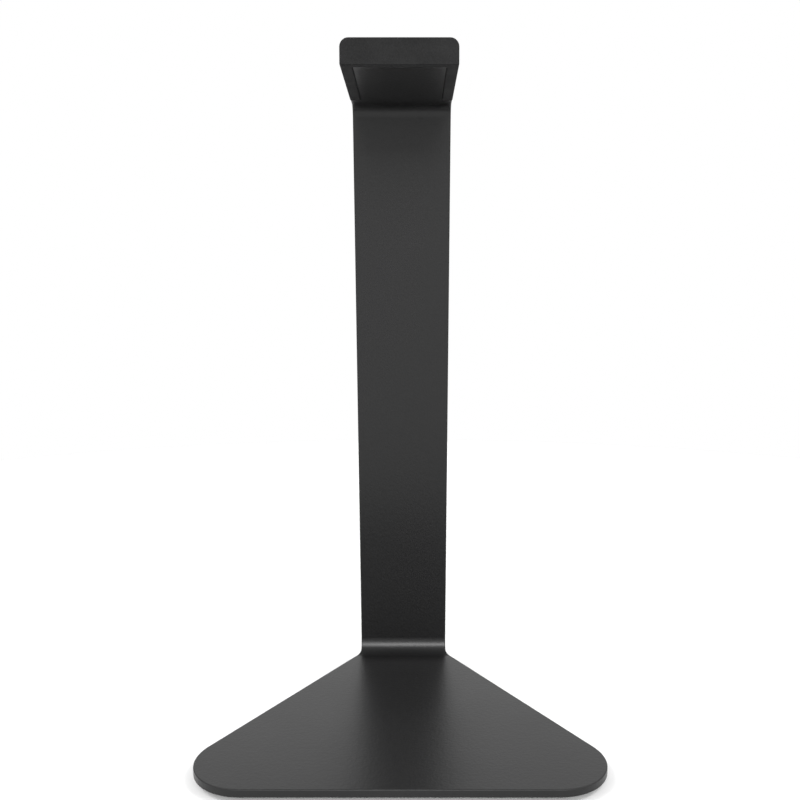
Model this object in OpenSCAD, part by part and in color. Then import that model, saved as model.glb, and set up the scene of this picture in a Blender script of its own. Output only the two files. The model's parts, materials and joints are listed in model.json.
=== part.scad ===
// Free-standing headphone stand: one bent steel plate, a soft cradle sleeve and stick-on feet.
// The front of the stand faces -Y. The origin is at the bottom centre of the whole stand.

/* [Whole stand] */
// Height from the floor to the top of the front lip
overall_h = 258; // [220:1:300]
// Depth from the front edge of the base to the back of the stem bend
overall_d = 125; // [110:1:150]

/* [Base] */
// Width of the base at its front corners
base_w = 150; // [120:1:180]
// Radius of the two front corners
corner_r = 20; // [8:1:30]
// Distance from the back of the stand to where the slanted sides reach the stem
flare_setback = 4.4; // [3.4:0.1:8]

/* [Plate] */
// Thickness of the steel plate
plate_t = 3; // [2:0.5:4]
// Inside radius of the bend between base and stem
foot_bend_r = 6; // [4:0.5:8]
// Inside radius of the bend between stem and arm
arm_bend_r = 5; // [4:0.5:8]

/* [Stem] */
// Width of the stem
stem_w = 40; // [30:1:50]
// Forward lean of the stem in degrees
lean = 9.01; // [0:0.01:10]

/* [Arm] */
// Distance that the front lip stands back from the front edge of the base
lip_setback = 18.2; // [10:0.2:30]
// Length of the sleeve from its front face to its open end
sleeve_len = 52; // [40:1:54]
// Gap between the open end of the sleeve and the shoulders of the arm
shoulder_gap = 0.5; // [0.3:0.1:1]
// Radius of the outer corners of the shoulders
shoulder_r = 1; // [0.5:0.1:1.4]

/* [Sleeve] */
// Height of the sleeve's front face
lip_h = 9; // [8:0.5:20]
// Thickness of the lip from front to back at its top
lip_t = 4; // [3:0.5:6]
// Radius of the two upper corners of the front face
lip_corner_r = 3; // [1:0.5:4]
// Thickness of the pad on top of the arm
pad_t = 2; // [1.5:0.1:2.5]
// Thickness of the side walls
side_wall = 1.5; // [1:0.1:2]
// Thickness of the wall in front of the arm's end
front_wall = 1.8; // [1.2:0.1:3]
// Thickness of the edges that fold in under the arm
under_t = 0.7; // [0.5:0.1:1.5]
// Clearance around the arm inside the sleeve
pocket_gap = 0.05; // [0.02:0.01:0.1]
// Width of the folded edge under each side
side_border = 4.15; // [3:0.05:8]
// Width of the folded edge under the front
front_border = 3.3; // [3:0.1:8]

/* [Feet] */
// Diameter of a foot
foot_d = 14; // [10:0.5:18]
// Thickness of a foot
foot_h = 1.6; // [1:0.1:4]
// Rounding of a foot's lower edge
foot_edge_r = 0.5; // [0.2:0.1:0.8]
// Thickness of the adhesive disc above each foot
tape_t = 0.2; // [0.1:0.1:0.5]
// Diameter of an adhesive disc
tape_d = 12.5; // [8:0.5:14]
// Distance between the centres of the two rear feet
rear_foot_spacing = 40; // [24:1:44]
// Distance from the back of the stand to the centres of the rear feet
rear_foot_inset = 26; // [20:1:35]

/* [Hidden] */
$fn = 96;

// Heights
plate_z = foot_h + tape_t;
base_top_z = plate_z + plate_t;
sleeve_z = overall_h - lip_h;
arm_z = sleeve_z + under_t;
seat_z = arm_z + plate_t + pad_t;

// Places along the depth
front_y = -overall_d / 2;
back_y = overall_d / 2;
lip_y = front_y + lip_setback;
sleeve_end_y = lip_y + sleeve_len;
shoulder_y = sleeve_end_y + shoulder_gap;
tongue_y = lip_y + front_wall;
tongue_w = stem_w - 2 * side_wall;

// Bend centres, as [y, z]
foot_bend = [back_y - plate_t - foot_bend_r, base_top_z + foot_bend_r];
arm_bend_z = arm_z - arm_bend_r;
stem_rise = arm_bend_z - foot_bend[1] + (arm_bend_r - foot_bend_r) * sin(lean);
stem_len = stem_rise / cos(lean);
arm_bend_y = foot_bend[0] + (foot_bend_r - arm_bend_r) * cos(lean) - stem_len * sin(lean);
arm_bend = [arm_bend_y, arm_bend_z];

// How far, in degrees, the two arcs of a bend run past its middle
bend_overlap = 5;

// Slanted sides of the base: each leaves the stem's edge and runs tangent to a front corner
flare_end = [stem_w / 2, back_y - flare_setback];
corner = [base_w / 2 - corner_r, front_y + corner_r];
flare_run = corner - flare_end;
flare_angle = atan(-flare_run[0] / flare_run[1]) + asin(corner_r / norm(flare_run));
flare_len = sqrt(flare_run * flare_run - corner_r * corner_r);

// Feet
front_foot = corner;
rear_foot = [rear_foot_spacing / 2, back_y - rear_foot_inset];

// Sweeps a side view, drawn as depth and height, across the width of the stand
module across(w) {
    rotate([90, 0, 90])
        linear_extrude(height = w, center = true)
            children();
}

// A point at a distance from a centre, in the direction of an angle
function polar(centre, r, angle) = centre + r * [cos(angle), sin(angle)];

// Side view of part of a bend about the origin, from one angle to a larger one
module bend_side(r, from, to) {
    reach = 2 * (r + plate_t);
    intersection() {
        difference() {
            circle(r = r + plate_t);
            circle(r = r);
        }
        polygon([
            [0, 0],
            polar([0, 0], reach, from),
            polar([0, 0], reach, (from + to) / 2),
            polar([0, 0], reach, to)
        ]);
    }
}

// Places what follows at the arm bend's centre, at the top of the stem
module at_arm_bend() {
    translate(foot_bend)
        rotate(lean)
            translate([foot_bend_r - arm_bend_r, stem_len])
                children();
}

// Side view of the bent plate. Each bend is two arcs, one square to each straight part it joins,
// and the arcs overlap in the middle of the bend.
module plate_side() {
    foot_half = (90 + lean) / 2 + bend_overlap;
    arm_half = (90 - lean) / 2 + bend_overlap;
    base_run = foot_bend[0] - front_y + 1;
    arm_run = arm_bend[0] - front_y;
    translate([front_y - 1, plate_z])
        square([base_run, plate_t]);
    translate(foot_bend) {
        bend_side(foot_bend_r, -90, -90 + foot_half);
        rotate(lean) {
            bend_side(foot_bend_r, -foot_half, 0);
            translate([foot_bend_r, 0])
                square([plate_t, stem_len]);
        }
    }
    at_arm_bend() {
        bend_side(arm_bend_r, 0, arm_half);
        rotate(-lean) {
            bend_side(arm_bend_r, 90 - arm_half, 90);
            translate([-arm_run, arm_bend_r])
                square([arm_run, plate_t]);
        }
    }
}

// Plan of the right half of the base, with its round front corner and slanted side
module base_half_plan() {
    translate(corner) {
        circle(r = corner_r);
        rotate(flare_angle)
            square([corner_r, flare_len + 1]);
    }
    polygon([
        [0, front_y],
        [corner[0], front_y],
        corner,
        polar(corner, corner_r / 2, flare_angle),
        flare_end - [stem_w / 8, 0],
        [0, flare_end[1]]
    ]);
    translate([0, corner[1]])
        square([stem_w / 2, back_y + 1 - corner[1]]);
}

// Plan of the stem and arm: full width as far as the round shoulders, then the narrower tongue
module arm_plan() {
    half_w = stem_w / 2;
    full_y = shoulder_y + shoulder_r;
    translate([-half_w, full_y])
        square([stem_w, back_y + 1 - full_y]);
    translate([-half_w + shoulder_r, shoulder_y])
        square([stem_w - 2 * shoulder_r, back_y - shoulder_y]);
    for (side = [-1, 1])
        translate([side * (half_w - shoulder_r), full_y])
            circle(r = shoulder_r);
    translate([-tongue_w / 2, tongue_y])
        square([tongue_w, back_y - tongue_y]);
}

module stand_frame() {
    color([0.10, 0.10, 0.10])
        intersection() {
            across(base_w + 2) plate_side();
            union() {
                linear_extrude(height = foot_bend[1] + foot_bend_r) {
                    base_half_plan();
                    mirror([1, 0]) base_half_plan();
                }
                translate([0, 0, foot_bend[1]])
                    linear_extrude(height = overall_h - foot_bend[1])
                        arm_plan();
            }
        }
}

// Side view of the sleeve: a level seat that sweeps up into the front lip
module sleeve_side() {
    rise = overall_h - seat_z;
    translate([lip_y, sleeve_z])
        square([lip_t, lip_h]);
    translate([lip_y, sleeve_z])
        square([sleeve_len, seat_z - sleeve_z]);
    translate([lip_y + lip_t, seat_z])
        difference() {
            square(rise);
            translate([rise, rise])
                circle(r = rise);
        }
}

// Front view of the sleeve, with its two round upper corners
module sleeve_front() {
    w = stem_w / 2;
    translate([-w, sleeve_z])
        square([stem_w, lip_h - lip_corner_r]);
    translate([-w + lip_corner_r, sleeve_z])
        square([stem_w - 2 * lip_corner_r, lip_h]);
    for (side = [-1, 1])
        translate([side * (w - lip_corner_r), overall_h - lip_corner_r])
            circle(r = lip_corner_r);
}

module cradle_sleeve() {
    pocket_len = sleeve_end_y - tongue_y + 1;
    pocket_w = tongue_w + 2 * pocket_gap;
    window_w = stem_w - 2 * side_border;
    window_y = lip_y + front_border;
    color([0.16, 0.16, 0.16])
        difference() {
            intersection() {
                across(stem_w) sleeve_side();
                translate([0, sleeve_end_y + 1, 0])
                    rotate([90, 0, 0])
                        linear_extrude(height = sleeve_len + 2)
                            sleeve_front();
            }
            translate([-pocket_w / 2, tongue_y - pocket_gap, arm_z - pocket_gap])
                cube([pocket_w, pocket_len, plate_t + 2 * pocket_gap]);
            translate([-window_w / 2, window_y, sleeve_z - 1])
                cube([window_w, sleeve_end_y - window_y + 1, under_t + 1]);
        }
}

// One foot, standing on the floor
module foot(place) {
    flat_r = foot_d / 2 - foot_edge_r;
    color([0.07, 0.07, 0.07])
        translate([place[0], place[1], 0])
            rotate_extrude() {
                square([flat_r, foot_h]);
                translate([0, foot_edge_r])
                    square([foot_d / 2, foot_h - foot_edge_r]);
                translate([flat_r, foot_edge_r])
                    circle(r = foot_edge_r, $fn = 32);
            }
}

// One adhesive disc, between a foot and the plate
module foot_tape(place) {
    color([0.75, 0.74, 0.70])
        translate([place[0], place[1], foot_h])
            cylinder(d = tape_d, h = tape_t);
}

// The same place on the left half of the stand
function left(place) = [-place[0], place[1]];

module foot_front_left() foot(left(front_foot));
module foot_front_right() foot(front_foot);
module foot_rear_left() foot(left(rear_foot));
module foot_rear_right() foot(rear_foot);
module foot_tape_front_left() foot_tape(left(front_foot));
module foot_tape_front_right() foot_tape(front_foot);
module foot_tape_rear_left() foot_tape(left(rear_foot));
module foot_tape_rear_right() foot_tape(rear_foot);

stand_frame();
cradle_sleeve();
foot_front_left();
foot_front_right();
foot_rear_left();
foot_rear_right();
foot_tape_front_left();
foot_tape_front_right();
foot_tape_rear_left();
foot_tape_rear_right();
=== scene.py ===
"""A headphone stand: one bent steel plate, a moulded rubber cradle sleeve and four stick-on feet.

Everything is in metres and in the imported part's frame: +Z is up, and the front of the stand faces -Y.
"""

from __future__ import annotations

import json
import logging
import math
from collections.abc import Iterator, Sequence
from dataclasses import dataclass, field
from enum import Enum

import bmesh
import bpy
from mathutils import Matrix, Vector

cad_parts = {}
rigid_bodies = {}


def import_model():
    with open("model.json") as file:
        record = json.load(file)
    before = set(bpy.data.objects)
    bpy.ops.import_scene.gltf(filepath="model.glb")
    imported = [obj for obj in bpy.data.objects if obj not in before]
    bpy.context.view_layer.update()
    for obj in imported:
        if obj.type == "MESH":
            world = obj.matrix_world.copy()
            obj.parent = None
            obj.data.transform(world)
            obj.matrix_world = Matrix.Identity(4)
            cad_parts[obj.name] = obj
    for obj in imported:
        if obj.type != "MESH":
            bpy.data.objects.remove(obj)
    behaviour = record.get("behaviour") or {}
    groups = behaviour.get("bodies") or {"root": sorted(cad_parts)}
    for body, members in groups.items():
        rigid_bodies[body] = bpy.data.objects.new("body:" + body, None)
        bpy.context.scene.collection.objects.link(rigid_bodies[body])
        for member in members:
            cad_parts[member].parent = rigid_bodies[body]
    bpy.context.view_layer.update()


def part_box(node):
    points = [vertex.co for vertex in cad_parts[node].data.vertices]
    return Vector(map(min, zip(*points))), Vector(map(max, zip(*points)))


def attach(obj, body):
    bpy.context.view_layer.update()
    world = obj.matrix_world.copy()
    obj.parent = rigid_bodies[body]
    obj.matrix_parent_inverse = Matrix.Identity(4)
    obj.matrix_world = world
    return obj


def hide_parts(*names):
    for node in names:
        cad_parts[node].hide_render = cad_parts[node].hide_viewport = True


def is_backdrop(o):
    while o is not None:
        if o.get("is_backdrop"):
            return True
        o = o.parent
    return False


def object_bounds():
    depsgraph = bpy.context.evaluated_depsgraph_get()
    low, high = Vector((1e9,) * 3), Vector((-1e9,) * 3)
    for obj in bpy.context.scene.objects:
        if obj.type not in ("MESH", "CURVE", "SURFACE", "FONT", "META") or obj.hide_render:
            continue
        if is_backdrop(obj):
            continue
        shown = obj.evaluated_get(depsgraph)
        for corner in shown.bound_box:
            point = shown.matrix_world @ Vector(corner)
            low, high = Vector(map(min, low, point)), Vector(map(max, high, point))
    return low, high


LOG = logging.getLogger("headphone_stand")

MM = 0.001
PLATE = 3.0 * MM
SLEEVE_SIDE_WALL = 1.5 * MM
SLEEVE_FRONT_WALL = 1.8 * MM

WEAR = "edge_wear"
ARC_STEP = math.radians(5)
EDGE_PARTS = 4
ROUND_PARTS = 96
SMOOTH_ANGLE = math.radians(32)
TINY = 1e-6
NOISE_ROUGHNESS = 0.55

Colour = tuple[float, float, float]
RimPoint = tuple[Vector, Vector]
Stops = Sequence[tuple[float, float]]


# ---------------------------------------------------------------- outlines and solids


@dataclass(frozen=True)
class Turn:
    """A corner of a flat outline: its place, and the radius that rounds it."""

    across: float
    along: float
    radius: float

    @property
    def place(self) -> Vector:
        """The corner before it is rounded."""
        return Vector((self.across, self.along))


@dataclass(frozen=True)
class Ring:
    """One level of a solid: how far the outline shrinks there, its height, and how rubbed it is."""

    inset: float
    height: float
    wear: float = 0.0


def rounded_rim(turns: Sequence[Turn], step: float = ARC_STEP) -> list[RimPoint]:
    """Rounds the corners of a closed outline that runs anticlockwise.

    Args:
        turns: The corners in order. One that turns clockwise gets a hollow round.
        step: The largest angle between two points on a round.

    Returns:
        The outline's points, each with the direction that leads straight out of it.
    """
    rim: list[RimPoint] = []
    for index, here in enumerate(turns):
        arrive = (here.place - turns[index - 1].place).normalized()
        leave = (turns[(index + 1) % len(turns)].place - here.place).normalized()
        swing = math.atan2(arrive.x * leave.y - arrive.y * leave.x, arrive.dot(leave))
        side = math.copysign(1.0, swing)
        reach = here.radius * math.tan(abs(swing) / 2)
        inward = Vector((-arrive.y, arrive.x)) * side
        centre = here.place - arrive * reach + inward * here.radius
        parts = max(2, math.ceil(abs(swing) / step))
        for part in range(parts + 1):
            heading = math.atan2(arrive.y, arrive.x) + swing * part / parts
            outward = Vector((math.sin(heading), -math.cos(heading)))
            rim.append((centre + outward * here.radius * side, outward))
    return rim


def round_rim(centre: Vector, radius: float, parts: int = ROUND_PARTS) -> list[RimPoint]:
    """Makes a circle's rim.

    Args:
        centre: The circle's centre.
        radius: The circle's radius.
        parts: The number of points on it.

    Returns:
        The circle's points, each with its outward direction.
    """
    outwards = [
        Vector((math.cos(math.tau * part / parts), math.sin(math.tau * part / parts)))
        for part in range(parts)
    ]
    return [(centre.xy + outward * radius, outward) for outward in outwards]


def eased_rings(low: float, high: float, radius: float, parts: int = EDGE_PARTS) -> list[Ring]:
    """Gives the levels of a slab whose two rims are rounded over.

    Args:
        low: The height of the lower face.
        high: The height of the upper face.
        radius: The radius of the rounded rims.
        parts: The number of flats on each round.

    Returns:
        The levels from low to high, most rubbed at the middle of each round.
    """
    lower = []
    for part in range(parts + 1):
        angle = math.pi / 2 * part / parts
        inset = radius * (1 - math.sin(angle))
        rise = radius * (1 - math.cos(angle))
        lower.append(Ring(inset, low + rise, math.sin(2 * angle)))
    upper = [Ring(ring.inset, low + high - ring.height, ring.wear) for ring in reversed(lower)]
    return lower + upper


def ring_solid(rim: Sequence[RimPoint], rings: Sequence[Ring]) -> bmesh.types.BMesh:
    """Stacks an outline's levels into a closed solid.

    Args:
        rim: The outline, anticlockwise.
        rings: The levels from the lowest to the highest.

    Returns:
        The solid, with the wear of each level kept on its points.
    """
    solid = bmesh.new()
    wear = solid.verts.layers.float.new(WEAR)
    loops: list[list[bmesh.types.BMVert]] = []
    for ring in rings:
        loop = []
        for place, outward in rim:
            corner = solid.verts.new((*(place - outward * ring.inset), ring.height))
            corner[wear] = ring.wear
            loop.append(corner)
        loops.append(loop)
    close_loops(solid, loops)
    return solid


def close_loops(solid: bmesh.types.BMesh, loops: Sequence[Sequence[bmesh.types.BMVert]]) -> None:
    """Skins a row of equal loops with quads, and caps the first and the last.

    Args:
        solid: The mesh that the loops' points belong to.
        loops: Loops of as many points each, anticlockwise as seen from the last one.
    """
    for lower, upper in zip(loops, loops[1:]):
        for index in range(len(lower)):
            after = (index + 1) % len(lower)
            solid.faces.new((lower[index], lower[after], upper[after], upper[index]))
    solid.faces.new(tuple(reversed(loops[0])))
    solid.faces.new(tuple(loops[-1]))


def as_object(name: str, solid: bmesh.types.BMesh) -> bpy.types.Object:
    """Turns a finished solid into an object of the scene.

    Args:
        name: The object's name.
        solid: The solid, which is used up.

    Returns:
        The object, shaded smooth apart from its sharp edges.
    """
    bmesh.ops.recalc_face_normals(solid, faces=solid.faces)
    mesh = bpy.data.meshes.new(name)
    solid.to_mesh(mesh)
    solid.free()
    made = bpy.data.objects.new(name, mesh)
    bpy.context.scene.collection.objects.link(made)
    soften(made)
    return made


def soften(piece: bpy.types.Object) -> None:
    """Shades a piece smooth apart from its sharp edges, and keeps its flat faces flat.

    Args:
        piece: The piece, which gets a modifier for it.
    """
    piece.data.shade_smooth()
    piece.data.set_sharp_from_angle(angle=SMOOTH_ANGLE)
    modifier = piece.modifiers.new("flat_faces", "WEIGHTED_NORMAL")
    modifier.keep_sharp = True


# ---------------------------------------------------------------- shader maths


class Signal:
    """A shader socket that can stand in a Python expression on values."""

    def __init__(self, sheet: ShaderSheet, socket: bpy.types.NodeSocket) -> None:
        """Wraps an output socket of a sheet's node."""
        self.sheet = sheet
        self.socket = socket

    def _maths(self, operation: str, first: Signal | float, second: Signal | float) -> Signal:
        """Adds one Math node for two values, and gives its result."""
        settings = {"operation": operation}
        return self.sheet.node("ShaderNodeMath", settings, {0: first, 1: second})

    def __add__(self, other: Signal | float) -> Signal:
        """The sum of this value and the other."""
        return self._maths("ADD", self, other)

    __radd__ = __add__

    def __sub__(self, other: Signal | float) -> Signal:
        """This value less the other."""
        return self._maths("SUBTRACT", self, other)

    def __rsub__(self, other: Signal | float) -> Signal:
        """The other value less this one."""
        return self._maths("SUBTRACT", other, self)

    def __mul__(self, other: Signal | float) -> Signal:
        """The product of this value and the other."""
        return self._maths("MULTIPLY", self, other)

    __rmul__ = __mul__


class ShaderSheet:
    """The nodes of one material, or of the surroundings."""

    def __init__(self, tree: bpy.types.NodeTree) -> None:
        """Starts an empty sheet on a node tree."""
        self.tree = tree
        tree.nodes.clear()

    def node(
        self,
        kind: str,
        settings: dict[str, object] | None = None,
        sockets: dict[int | str, object] | None = None,
        output: int | str = 0,
    ) -> Signal:
        """Adds a node, sets it, and feeds its sockets.

        Args:
            kind: The node's type.
            settings: The node's own settings. A ramp's are its stops, as pairs of place and value.
            sockets: The value or the signal for each input.
            output: The output that the caller wants.

        Returns:
            That output, or the first input of a node that has no output.
        """
        made = self.tree.nodes.new(kind)
        for name, value in (settings or {}).items():
            if name == "stops":
                self._set_stops(made.color_ramp, value)
            else:
                setattr(made, name, value)
        for name, value in (sockets or {}).items():
            if isinstance(value, Signal):
                self.tree.links.new(value.socket, made.inputs[name])
            else:
                made.inputs[name].default_value = value
        return Signal(self, made.outputs[output] if made.outputs else made.inputs[0])

    @staticmethod
    def _set_stops(ramp: bpy.types.ColorRamp, stops: Stops) -> None:
        """Gives a ramp its stops in greys.

        Args:
            ramp: The ramp, which starts with two stops.
            stops: Two stops or more, each a place and a value.
        """
        while len(ramp.elements) < len(stops):
            ramp.elements.new(1.0)
        for element, (place, value) in zip(ramp.elements, stops):
            element.position = place
            element.color = (value, value, value, 1.0)

    def ramp(self, signal: Signal, stops: Stops) -> Signal:
        """Passes a value through a ramp with the given stops."""
        return self.node("ShaderNodeValToRGB", {"stops": stops}, {"Fac": signal})

    def noise(self, place: Signal, size: float, detail: float = 2.0) -> Signal:
        """Gives an even random value from 0 to 1.

        Args:
            place: Where on the piece.
            size: The width of one lump, in metres.
            detail: How many finer layers it has.

        Returns:
            The value at that place.
        """
        sockets = {"Vector": place, "Scale": 1 / size, "Detail": detail, "Roughness": NOISE_ROUGHNESS}
        return self.node("ShaderNodeTexNoise", {"noise_dimensions": "3D"}, sockets)

    def mix(self, share: Signal, first: Signal | Colour, second: Signal | Colour) -> Signal:
        """Mixes two colours.

        Args:
            share: The second colour's part, from 0 to 1.
            first: The first colour.
            second: The second colour.

        Returns:
            The mixed colour.
        """
        # A Mix node's share is its input 0, its colours are its inputs 6 and 7, and its output 2.
        share_input, first_input, second_input, colour_output = 0, 6, 7, 2
        sockets: dict[int, object] = {share_input: share}
        for name, colour in ((first_input, first), (second_input, second)):
            sockets[name] = colour if isinstance(colour, Signal) else (*colour, 1.0)
        return self.node("ShaderNodeMix", {"data_type": "RGBA"}, sockets, output=colour_output)

    def bump(self, height: Signal, depth: float) -> Signal:
        """Gives a surface's normal, with a relief of that depth in metres."""
        sockets = {"Strength": 1.0, "Distance": depth, "Height": height}
        return self.node("ShaderNodeBump", None, sockets)


@dataclass(frozen=True)
class Finish:
    """What every finish has: its name, colour, gloss and grain, and how uneven they are."""

    name: str
    colour: Colour
    rubbed_colour: Colour
    roughness: float
    gloss_index: float
    grain: float
    grain_depth: float
    tint_cloud: float = 30 * MM
    tint_spread: float = 0.3
    tint_stops: Stops = ((0.3, 0.0), (0.7, 1.0))
    gloss_cloud: float = 18 * MM
    gloss_spread: float = 0.10

    def material(self) -> bpy.types.Material:
        """Builds the finish.

        Returns:
            The material, ready to be put on a piece.
        """
        material = bpy.data.materials.new(self.name)
        material.use_nodes = True
        material.diffuse_color = (*self.colour, 1.0)
        sheet = ShaderSheet(material.node_tree)
        place = sheet.node("ShaderNodeTexCoord", output="Object")
        shader = sheet.node(
            "ShaderNodeBsdfPrincipled",
            None,
            {
                "Base Color": self.tint(sheet, place),
                "Roughness": self.dullness(sheet, place),
                "Normal": sheet.bump(self.relief(sheet, place), self.grain_depth),
                "IOR": self.gloss_index,
            },
        )
        sheet.node("ShaderNodeOutputMaterial", None, {"Surface": shader})
        return material

    def tint(self, sheet: ShaderSheet, place: Signal) -> Signal:
        """The colour, a little uneven."""
        cloud = sheet.ramp(sheet.noise(place, self.tint_cloud), self.tint_stops)
        return sheet.mix(cloud * self.tint_spread, self.colour, self.rubbed_colour)

    def dullness(self, sheet: ShaderSheet, place: Signal) -> Signal:
        """The roughness, a little uneven."""
        cloud = sheet.noise(place, self.gloss_cloud, 3.0)
        return self.roughness + (cloud - 0.5) * self.gloss_spread

    def relief(self, sheet: ShaderSheet, place: Signal) -> Signal:
        """The height of the grain, from 0 to 1."""
        return sheet.noise(place, self.grain, 3.0)


@dataclass(frozen=True)
class PowderCoat(Finish):
    """Satin black powder coat, with a soft orange peel and slightly rubbed edges."""

    tint_cloud: float = 60 * MM
    tint_spread: float = 0.25
    gloss_cloud: float = 40 * MM
    gloss_spread: float = 0.06
    speck: float = 0.35 * MM
    speck_spread: float = 0.12
    peel_share: float = 0.7
    rubbed_patch: float = 7 * MM
    rubbed_stops: Stops = ((0.42, 0.15), (0.66, 1.0))
    rubbed_share: float = 0.45
    edge_dullness: float = 0.15

    def wear(self, sheet: ShaderSheet) -> Signal:
        """How exposed the surface is: 1 along the edges, 0 on the flats."""
        return sheet.node("ShaderNodeAttribute", {"attribute_name": WEAR}, output="Fac")

    def rubbed(self, sheet: ShaderSheet, place: Signal) -> Signal:
        """How rubbed the coat is: only along the edges, and in patches."""
        patches = sheet.ramp(sheet.noise(place, self.rubbed_patch, 4.0), self.rubbed_stops)
        return self.wear(sheet) * patches

    def tint(self, sheet: ShaderSheet, place: Signal) -> Signal:
        """The coat's colour, lighter where it is rubbed.

        Args:
            sheet: The material's nodes.
            place: Where on the piece.

        Returns:
            The colour at that place.
        """
        cloud = sheet.noise(place, self.tint_cloud)
        even = sheet.mix(cloud * self.tint_spread, self.colour, self.rubbed_colour)
        return sheet.mix(self.rubbed(sheet, place) * self.rubbed_share, even, self.rubbed_colour)

    def dullness(self, sheet: ShaderSheet, place: Signal) -> Signal:
        """The coat's roughness: cloudy, finely speckled, and duller along the edges.

        Args:
            sheet: The material's nodes.
            place: Where on the piece.

        Returns:
            The roughness at that place.
        """
        cloud = sheet.noise(place, self.gloss_cloud, 3.0)
        speck = sheet.noise(place, self.speck, 1.0)
        uneven = (cloud - 0.5) * self.gloss_spread + (speck - 0.5) * self.speck_spread
        return self.roughness + uneven + self.wear(sheet) * self.edge_dullness

    def relief(self, sheet: ShaderSheet, place: Signal) -> Signal:
        """The peel's broad lumps with fine specks on them.

        Args:
            sheet: The material's nodes.
            place: Where on the piece.

        Returns:
            The height at that place, from 0 to 1.
        """
        peel = sheet.noise(place, self.grain, 1.0)
        specks = sheet.noise(place, self.speck, 1.0)
        return peel * self.peel_share + specks * (1 - self.peel_share)


@dataclass(frozen=True)
class MouldedRubber(Finish):
    """Matte moulded rubber, with a fine grain, polished patches and a thin film of dust."""

    tint_cloud: float = 25 * MM
    pore_stops: Stops = ((0.35, 0.0), (0.65, 1.0))
    dust: float = 0.5
    dust_stops: Stops = ((0.2, 0.1), (0.5, 0.6), (0.95, 1.0))
    polish: float = 0.12
    polish_patch: float = 14 * MM
    polish_stops: Stops = ((0.4, 0.0), (0.65, 1.0))

    def dullness(self, sheet: ShaderSheet, place: Signal) -> Signal:
        """The roughness, lower in the patches that hands and headbands have polished."""
        patches = sheet.ramp(sheet.noise(place, self.polish_patch, 4.0), self.polish_stops)
        return self.roughness - patches * self.polish

    def tint(self, sheet: ShaderSheet, place: Signal) -> Signal:
        """The rubber's colour under a film of dust, thickest on what faces up and thinnest underneath.

        Args:
            sheet: The material's nodes.
            place: Where on the piece.

        Returns:
            The colour at that place.
        """
        cloud = sheet.noise(place, self.tint_cloud, 3.0)
        pores = sheet.ramp(sheet.noise(place, self.grain, 2.0), self.pore_stops)
        facing = sheet.node("ShaderNodeNewGeometry", output="Normal")
        up = sheet.node("ShaderNodeSeparateXYZ", None, {"Vector": facing}, output="Z")
        film = sheet.ramp(up * 0.5 + 0.5, self.dust_stops)
        return sheet.mix((cloud + pores) * film * self.dust, self.colour, self.rubbed_colour)


POWDER_COAT = PowderCoat(
    name="satin_powder_coat",
    colour=(0.0062, 0.0062, 0.0064),
    rubbed_colour=(0.017, 0.017, 0.0173),
    roughness=0.35,
    gloss_index=1.385,
    grain=1.3 * MM,
    grain_depth=0.06 * MM,
)
SLEEVE_RUBBER = MouldedRubber(
    name="matte_sleeve_rubber",
    colour=(0.0055, 0.0055, 0.0056),
    rubbed_colour=(0.027, 0.027, 0.0274),
    roughness=0.86,
    gloss_index=1.28,
    grain=0.30 * MM,
    grain_depth=0.03 * MM,
)
FOOT_RUBBER = MouldedRubber(
    name="foot_rubber",
    colour=(0.020, 0.020, 0.020),
    rubbed_colour=(0.045, 0.044, 0.043),
    roughness=0.72,
    gloss_index=1.5,
    grain=0.4 * MM,
    grain_depth=0.03 * MM,
)
ADHESIVE_FILM = Finish(
    name="adhesive_film",
    colour=(0.30, 0.30, 0.29),
    rubbed_colour=(0.42, 0.42, 0.40),
    roughness=0.45,
    gloss_index=1.47,
    grain=0.6 * MM,
    grain_depth=0.004 * MM,
)


# ---------------------------------------------------------------- the bent plate


@dataclass(frozen=True)
class Stretch:
    """A length of the plate's middle line, bent to a radius, or straight where that is None."""

    length: float
    radius: float | None = None


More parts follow.
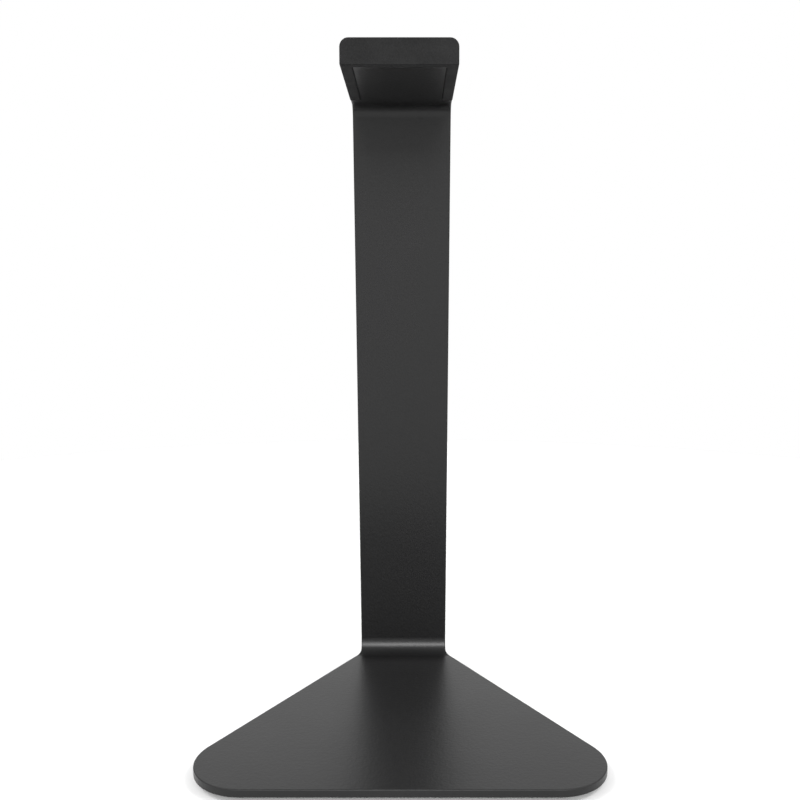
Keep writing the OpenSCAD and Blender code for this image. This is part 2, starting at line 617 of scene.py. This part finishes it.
@dataclass
class StandFrame:
    """The steel plate that is base, stem and arm in one: a flat blank bent twice."""

    node: str = "stand_frame"
    sleeve_node: str = "cradle_sleeve"
    thickness: float = PLATE
    foot_bend: float = 6.0 * MM
    arm_bend: float = 5.0 * MM
    lean: float = math.radians(9.01)
    corner_radius: float = 20.0 * MM
    flare_setback: float = 4.4 * MM
    flare_blend: float = 8.0 * MM
    tongue_inset: float = SLEEVE_SIDE_WALL
    shoulder_gap: float = 0.5 * MM
    shoulder_radius: float = 1.0 * MM
    root_radius: float = 0.5 * MM
    edge_radius: float = 0.38 * MM
    bend_step: float = math.radians(3)
    cut_reach: float = 1e-7
    stretches: list[Stretch] = field(default_factory=list, init=False)

    def __post_init__(self) -> None:
        """Takes the plate's place from the frame, and works out its middle line."""
        self.low, self.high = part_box(self.node)
        self.sleeve_low, self.sleeve_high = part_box(self.sleeve_node)
        half = self.thickness / 2
        foot_y = self.high.y - self.thickness - self.foot_bend
        foot_z = self.low.z + self.thickness + self.foot_bend
        arm_z = self.high.z - self.thickness - self.arm_bend
        rise = arm_z - foot_z + (self.arm_bend - self.foot_bend) * math.sin(self.lean)
        stem = rise / math.cos(self.lean)
        self.arm_y = (
            foot_y + (self.foot_bend - self.arm_bend) * math.cos(self.lean) - stem * math.sin(self.lean)
        )
        foot_radius = self.foot_bend + half
        arm_radius = self.arm_bend + half
        self.stretches = [
            Stretch(foot_y - self.low.y),
            Stretch(foot_radius * (math.pi / 2 + self.lean), foot_radius),
            Stretch(stem),
            Stretch(arm_radius * (math.pi / 2 - self.lean), arm_radius),
            Stretch(self.arm_y - self.tongue_end),
        ]

    @property
    def tongue_end(self) -> float:
        """The depth at which the arm's tongue ends inside the sleeve."""
        return self.sleeve_low.y + SLEEVE_FRONT_WALL

    def place(self, across: float, run: float, depth: float) -> Vector:
        """Bends one point of the flat blank into place.

        Args:
            across: Its distance from the middle of the stand.
            run: Its distance along the middle line from the front edge of the base.
            depth: Its height above the outer face of the plate.

        Returns:
            The point on the bent plate.
        """
        y, z, heading = self.low.y, self.low.z + self.thickness / 2, 0.0
        for stretch in self.stretches:
            step = min(run, stretch.length)
            if stretch is self.stretches[-1]:
                step = run
            if stretch.radius is None:
                y += step * math.cos(heading)
                z += step * math.sin(heading)
            else:
                turned = heading + step / stretch.radius
                y += stretch.radius * (math.sin(turned) - math.sin(heading))
                z += stretch.radius * (math.cos(heading) - math.cos(turned))
                heading = turned
            run -= step
        lift = depth - self.thickness / 2
        return Vector((across, y - lift * math.sin(heading), z + lift * math.cos(heading)))

    def blank(self) -> list[RimPoint]:
        """Draws the flat blank: wide base, slanted sides, stem, shoulders and tongue.

        Returns:
            The blank's rim, anticlockwise, as distances across and along the plate.
        """
        stem_half = self.sleeve_high.x
        corner_x = self.high.x - self.corner_radius
        flare_run = self.high.y - self.flare_setback - self.low.y
        reach = Vector((corner_x - stem_half, flare_run - self.corner_radius))
        slant = math.atan2(reach.x, reach.y) + math.asin(self.corner_radius / reach.length)
        before_arm = sum(stretch.length for stretch in self.stretches[:-1])
        shoulder_run = before_arm + self.arm_y - self.sleeve_high.y - self.shoulder_gap
        tongue_run = sum(stretch.length for stretch in self.stretches)
        tongue_half = stem_half - self.tongue_inset
        right = [
            Turn(stem_half + flare_run * math.tan(slant), 0.0, self.corner_radius),
            Turn(stem_half, flare_run, self.flare_blend),
            Turn(stem_half, shoulder_run, self.shoulder_radius),
            Turn(tongue_half, shoulder_run, self.root_radius),
            Turn(tongue_half, tongue_run, self.root_radius),
        ]
        left = [Turn(-turn.across, turn.along, turn.radius) for turn in reversed(right)]
        return rounded_rim(right + left)

    def bend_lines(self) -> Iterator[float]:
        """Finds the places along the blank where it has to be able to bend.

        Returns:
            Their distances from the front edge of the base, one after the other.
        """
        start = 0.0
        for stretch in self.stretches:
            if stretch.radius is not None:
                parts = math.ceil(stretch.length / stretch.radius / self.bend_step)
                for part in range(parts + 1):
                    yield start + stretch.length * part / parts
            start += stretch.length

    def build(self) -> bpy.types.Object:
        """Cuts the blank, eases its edges and bends it.

        Returns:
            The finished plate.
        """
        solid = ring_solid(self.blank(), eased_rings(0.0, self.thickness, self.edge_radius))
        for run in self.bend_lines():
            everything = [*solid.verts, *solid.edges, *solid.faces]
            bmesh.ops.bisect_plane(
                solid,
                geom=everything,
                dist=self.cut_reach,
                plane_co=(0.0, run, 0.0),
                plane_no=(0.0, 1.0, 0.0),
            )
        for corner in solid.verts:
            corner.co = self.place(*corner.co)
        plate = as_object("bent_plate", solid)
        plate.data.materials.append(POWDER_COAT.material())
        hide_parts(self.node)
        return plate


# ---------------------------------------------------------------- the cradle sleeve


@dataclass
class CradleSleeve:
    """The moulded rubber sleeve on the arm, with its upright lip and its open underside."""

    node: str = "cradle_sleeve"
    lip_thickness: float = 4.0 * MM
    lip_draft: float = 0.25 * MM
    lip_corner: float = 3.0 * MM
    lip_edge: float = 0.45 * MM
    front_edge: float = 0.35 * MM
    rear_edge: float = 0.3 * MM
    seat_above_underside: float = 5.7 * MM
    seat_hollow: float = 2.75 * MM
    seat_edge: float = 1.1 * MM
    lower_edge: float = 0.5 * MM
    side_wall: float = SLEEVE_SIDE_WALL
    front_wall: float = SLEEVE_FRONT_WALL
    folded_edge: float = 0.7 * MM
    plate: float = PLATE
    clearance: float = 0.05 * MM
    pocket_corner: float = 0.3 * MM
    side_border: float = 4.15 * MM
    front_border: float = 3.3 * MM
    window_corner: float = 0.6 * MM
    window_edge: float = 0.55 * MM
    overrun: float = 4.0 * MM
    corner_parts: int = 7
    cutter_step: float = math.radians(15)

    def __post_init__(self) -> None:
        """Takes the sleeve's place from the frame."""
        self.low, self.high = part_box(self.node)
        self.seat = self.low.z + self.seat_above_underside

    def crown(self) -> list[tuple[float, float]]:
        """Follows the top of the sleeve from the front: over the lip, down its back, along the seat.

        Returns:
            Pairs of depth and height, with the depth always growing.
        """
        lip_back = self.low.y + self.lip_thickness
        turns = [
            Turn(self.low.y, self.high.z, 0.0),
            Turn(lip_back, self.high.z, self.lip_edge),
            Turn(lip_back + self.lip_draft, self.seat, self.seat_hollow),
            Turn(self.high.y, self.seat, 0.0),
        ]
        rim = rounded_rim([*turns, Turn(self.low.y, self.seat, 0.0)])
        line = [tuple(place) for place, _ in rim]
        return [(y, z) for y, z in line if self.low.y + TINY < y < self.high.y - TINY]

    def levels(self) -> list[tuple[float, float, float]]:
        """Gives the sleeve's cross-sections from the front to the rear.

        Returns:
            For each one its depth, the height of its top, and how far its outline shrinks.
        """
        angles = [math.pi / 2 * part / EDGE_PARTS for part in range(EDGE_PARTS + 1)]
        ends = [(1 - math.cos(angle), 1 - math.sin(angle)) for angle in angles]
        front = [
            (self.low.y + self.front_edge * step, self.high.z, self.front_edge * shrink)
            for step, shrink in ends
        ]
        rear = [
            (self.high.y - self.rear_edge * step, self.seat, self.rear_edge * shrink)
            for step, shrink in reversed(ends)
        ]
        middle = [(y, z, 0.0) for y, z in self.crown() if front[-1][0] < y < rear[0][0]]
        return front + middle + rear

    def section(self, top: float, shrink: float) -> list[tuple[float, float]]:
        """Draws one cross-section.

        Args:
            top: The height of its top.
            shrink: How far it is smaller all round.

        Returns:
            The section's points as pairs of width and height, always as many.
        """
        share = (top - self.seat) / (self.high.z - self.seat)
        crest = self.seat_edge + (self.lip_corner - self.seat_edge) * share
        half = self.high.x
        centres = [
            (half - crest, top - crest, crest),
            (crest - half, top - crest, crest),
            (self.lower_edge - half, self.low.z + self.lower_edge, self.lower_edge),
            (half - self.lower_edge, self.low.z + self.lower_edge, self.lower_edge),
        ]
        points = []
        for quarter, (x, z, radius) in enumerate(centres):
            for part in range(self.corner_parts + 1):
                angle = math.pi / 2 * (quarter + part / self.corner_parts)
                reach = radius - shrink
                points.append((x + reach * math.cos(angle), z + reach * math.sin(angle)))
        return points

    def body(self) -> bpy.types.Object:
        """Builds the sleeve's outside as a closed solid.

        Returns:
            The sleeve before its openings are cut.
        """
        solid = bmesh.new()
        loops = [
            [solid.verts.new((x, y, z)) for x, z in self.section(top, shrink)]
            for y, top, shrink in self.levels()
        ]
        close_loops(solid, loops)
        bmesh.ops.recalc_face_normals(solid, faces=solid.faces)
        underside = [face for face in solid.faces if face.normal.z < TINY - 1]
        bmesh.ops.dissolve_faces(solid, faces=underside)
        return as_object("cradle_sleeve_rubber", solid)

    def opening(
        self, name: str, half: float, front: float, corner: float, rings: list[Ring]
    ) -> bpy.types.Object:
        """Builds a solid to cut away, which runs out through the rear.

        Args:
            name: The cutter's name.
            half: Half its width.
            front: The depth at which it begins.
            corner: The radius of its front corners.
            rings: Its levels.

        Returns:
            The cutter.
        """
        rear = self.high.y + self.overrun
        turns = [
            Turn(half, front, corner),
            Turn(half, rear, corner),
            Turn(-half, rear, corner),
            Turn(-half, front, corner),
        ]
        return as_object(name, ring_solid(rounded_rim(turns, self.cutter_step), rings))

    def cutters(self) -> list[bpy.types.Object]:
        """Builds the pocket for the arm and the window in the underside.

        Returns:
            The two solids to cut away.
        """
        floor = self.low.z + self.folded_edge - self.clearance
        ceiling = self.low.z + self.folded_edge + self.plate + self.clearance
        pocket = self.opening(
            "pocket",
            self.high.x - self.side_wall + self.clearance,
            self.low.y + self.front_wall - self.clearance,
            self.pocket_corner,
            [Ring(0.0, floor), Ring(0.0, ceiling)],
        )
        flare = []
        for part in range(EDGE_PARTS + 1):
            angle = math.pi / 2 * part / EDGE_PARTS
            widening = self.window_edge * (1 - math.sin(angle))
            flare.append(Ring(-widening, self.low.z + self.window_edge * (1 - math.cos(angle))))
        below = Ring(-self.window_edge, self.low.z - self.folded_edge)
        above = Ring(0.0, floor + self.clearance * 2)
        window = self.opening(
            "window",
            self.high.x - self.side_border,
            self.low.y + self.front_border,
            self.window_corner,
            [below, *flare, above],
        )
        return [pocket, window]

    def build(self) -> bpy.types.Object:
        """Moulds the sleeve and cuts its pocket and window.

        Returns:
            The finished sleeve.
        """
        sleeve = self.body()
        cutters = self.cutters()
        for cutter in cutters:
            cut = sleeve.modifiers.new(cutter.name, "BOOLEAN")
            cut.operation = "DIFFERENCE"
            cut.solver = "EXACT"
            cut.object = cutter
        bpy.context.view_layer.update()
        shape = sleeve.evaluated_get(bpy.context.evaluated_depsgraph_get())
        mesh = bpy.data.meshes.new_from_object(shape)
        sleeve.modifiers.clear()
        sleeve.data = mesh
        for cutter in cutters:
            bpy.data.objects.remove(cutter)
        soften(sleeve)
        sleeve.data.materials.append(SLEEVE_RUBBER.material())
        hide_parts(self.node)
        return sleeve


# ---------------------------------------------------------------- the feet


class Corner(Enum):
    """The four places of the feet."""

    FRONT_LEFT = "front_left"
    FRONT_RIGHT = "front_right"
    REAR_LEFT = "rear_left"
    REAR_RIGHT = "rear_right"


@dataclass
class Foot:
    """A rubber foot and the adhesive disc that holds it."""

    corner: Corner
    lower_edge: float = 0.5 * MM
    upper_edge: float = 0.12 * MM
    disc_edge: float = 0.04 * MM
    disc_edge_parts: int = 2

    def turned(
        self, node: str, name: str, rings: list[Ring], finish: bpy.types.Material
    ) -> bpy.types.Object:
        """Builds a round piece in the place of a CAD node.

        Args:
            node: The node that it stands for.
            name: The piece's name.
            rings: Its levels.
            finish: Its material.

        Returns:
            The piece.
        """
        low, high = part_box(node)
        rim = round_rim((low + high) / 2, (high.x - low.x) / 2)
        piece = as_object(name, ring_solid(rim, rings))
        piece.data.materials.append(finish)
        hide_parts(node)
        return piece

    def build(self, rubber: bpy.types.Material, film: bpy.types.Material) -> list[bpy.types.Object]:
        """Builds the foot and its disc.

        Args:
            rubber: The foot's material.
            film: The disc's material.

        Returns:
            The foot and the disc.
        """
        foot_node = f"foot_{self.corner.value}"
        tape_node = f"foot_tape_{self.corner.value}"
        low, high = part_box(foot_node)
        rim_rings = EDGE_PARTS + 1
        lower = eased_rings(low.z, high.z, self.lower_edge)[:rim_rings]
        upper = eased_rings(low.z, high.z, self.upper_edge)[-rim_rings:]
        foot = self.turned(foot_node, f"rubber_foot_{self.corner.value}", lower + upper, rubber)
        low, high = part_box(tape_node)
        rings = eased_rings(low.z, high.z, self.disc_edge, self.disc_edge_parts)
        disc = self.turned(tape_node, f"adhesive_disc_{self.corner.value}", rings, film)
        return [foot, disc]


# ---------------------------------------------------------------- studio and camera


@dataclass(frozen=True)
class Softbox:
    """A square panel of light, given by where it hangs as seen from the stand.

    Its level is its brightness, on the scale on which plain white is 1.
    """

    name: str
    heading: float
    elevation: float
    level: float
    distance: float = 6.0
    width: float = 2.4

    def build(self, target: Vector) -> bpy.types.Object:
        """Hangs the panel, unseen by the camera itself.

        Args:
            target: The point that it faces.

        Returns:
            The light.
        """
        away = Vector(
            (
                math.sin(self.heading) * math.cos(self.elevation),
                -math.cos(self.heading) * math.cos(self.elevation),
                math.sin(self.elevation),
            )
        )
        light = bpy.data.lights.new(self.name, "AREA")
        light.shape = "SQUARE"
        light.size = self.width
        light.energy = self.level * math.pi * self.width**2
        panel = bpy.data.objects.new(self.name, light)
        panel.location = target + away * self.distance
        panel.rotation_mode = "QUATERNION"
        panel.rotation_quaternion = (-away).to_track_quat("-Z", "Y")
        panel.visible_camera = False
        bpy.context.scene.collection.objects.link(panel)
        return panel


@dataclass
class Studio:
    """A white light tent with dim flanks, a pale floor and three softboxes.

    The places in its stops run from front to back, from the middle to a side, or from the horizon up.
    """

    front_level: float = 1.22
    back_level: float = 1.35
    back_low_level: float = 0.6
    back_rise: float = 0.36
    top_level: float = 0.6
    flank_shade: float = 0.8
    behind_stops: Stops = ((0.35, 0.0), (0.65, 1.0))
    flank_stops: Stops = ((0.25, 0.0), (0.55, 1.0))
    flank_top_stops: Stops = ((0.25, 1.0), (0.6, 0.0))
    roof_stops: Stops = ((0.45, 0.0), (0.8, 1.0))
    floor_radius: float = 0.75
    floor_drop: float = 0.05 * MM
    floor_colour: Colour = (0.76, 0.76, 0.76)
    softboxes: tuple[Softbox, ...] = (
        Softbox("front_softbox", heading=math.radians(2), elevation=math.radians(26), level=15.5),
        Softbox("left_softbox", heading=math.radians(-90), elevation=math.radians(50), level=7.5),
        Softbox("right_softbox", heading=math.radians(90), elevation=math.radians(50), level=7.5),
    )

    def floor(self) -> bpy.types.Object:
        """Lays a round floor just under the feet.

        Returns:
            The floor, which is part of the stage.
        """
        plate = bmesh.new()
        bmesh.ops.create_circle(plate, cap_ends=True, segments=ROUND_PARTS, radius=self.floor_radius)
        bmesh.ops.translate(plate, verts=plate.verts, vec=(0.0, 0.0, -self.floor_drop))
        mesh = bpy.data.meshes.new("studio_floor")
        plate.to_mesh(mesh)
        plate.free()
        floor = bpy.data.objects.new("studio_floor", mesh)
        bpy.context.scene.collection.objects.link(floor)
        material = bpy.data.materials.new("pale_floor")
        material.use_nodes = True
        sheet = ShaderSheet(material.node_tree)
        shader = sheet.node("ShaderNodeBsdfDiffuse", None, {"Color": (*self.floor_colour, 1.0)})
        sheet.node("ShaderNodeOutputMaterial", None, {"Surface": shader})
        mesh.materials.append(material)
        floor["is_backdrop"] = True
        return floor

    def tent(self) -> None:
        """Surrounds everything with white light: soft in front, even behind, dim at the flanks."""
        world = bpy.data.worlds.new("light_tent")
        world.use_nodes = True
        bpy.context.scene.world = world
        sheet = ShaderSheet(world.node_tree)
        facing = sheet.node("ShaderNodeTexCoord", output="Generated")
        x, y, z = [
            sheet.node("ShaderNodeSeparateXYZ", None, {"Vector": facing}, output=axis) for axis in "XYZ"
        ]
        behind = sheet.ramp(y * 0.5 + 0.5, self.behind_stops)
        back = sheet.ramp(z, [(0.0, self.back_low_level), (self.back_rise, self.back_level)])
        wall = behind * back + (1 - behind) * self.front_level
        flank = sheet.ramp(x * x, self.flank_stops) * sheet.ramp(z, self.flank_top_stops)
        roof = sheet.ramp(z, self.roof_stops)
        level = wall * (1 - flank * self.flank_shade) * (1 - roof) + roof * self.top_level
        seen = sheet.node("ShaderNodeLightPath", output="Is Camera Ray")
        light = sheet.node(
            "ShaderNodeBackground",
            None,
            {"Color": (1.0, 1.0, 1.0, 1.0), "Strength": level * (1 - seen) + seen},
        )
        sheet.node("ShaderNodeOutputWorld", None, {"Surface": light})

    def build(self) -> None:
        """Sets up the floor, the surroundings, the softboxes and the picture's plain colours."""
        self.floor()
        self.tent()
        low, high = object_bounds()
        foot_of_stem = Vector((0.0, high.y, low.z))
        for softbox in self.softboxes:
            softbox.build(foot_of_stem)
        view = bpy.context.scene.view_settings
        view.view_transform = "Standard"
        view.look = "None"


@dataclass
class Viewpoint:
    """The camera: in front of the stand, a little to its right, level with its upper half."""

    place: Vector = field(default_factory=lambda: Vector((4.49, -349.9, 169.6)) * MM)
    pitch: float = math.radians(-6.12)
    lens: float = 39.93
    sensor: float = 36.0
    shift: float = -0.016
    nearest: float = 0.01
    farthest: float = 100.0

    def build(self) -> bpy.types.Object:
        """Sets up the scene's camera.

        Returns:
            The camera.
        """
        data = bpy.data.cameras.new("front_view")
        data.lens = self.lens
        data.sensor_width = self.sensor
        data.shift_x = self.shift
        data.clip_start = self.nearest
        data.clip_end = self.farthest
        camera = bpy.data.objects.new("front_view", data)
        camera.location = self.place
        camera.rotation_euler = (math.pi / 2 + self.pitch, 0.0, 0.0)
        bpy.context.scene.collection.objects.link(camera)
        bpy.context.scene.camera = camera
        return camera


def clear_scene() -> None:
    """Empties the file that the program starts with."""
    for thing in list(bpy.data.objects):
        bpy.data.objects.remove(thing)


def report(piece: bpy.types.Object) -> None:
    """Logs a piece's name and size."""
    size = " x ".join(f"{side / MM:.1f}" for side in piece.dimensions)
    LOG.info("%s: %s mm, %d faces", piece.name, size, len(piece.data.polygons))


def main() -> None:
    """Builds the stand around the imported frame, then the studio and the camera."""
    logging.basicConfig(level=logging.INFO, format="%(name)s: %(message)s")
    clear_scene()
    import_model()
    pieces = [StandFrame().build(), CradleSleeve().build()]
    rubber = FOOT_RUBBER.material()
    film = ADHESIVE_FILM.material()
    for corner in Corner:
        pieces += Foot(corner).build(rubber, film)
    for piece in pieces:
        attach(piece, "root")
        report(piece)
    Viewpoint().build()
    Studio().build()


if __name__ == "__main__":
    main()
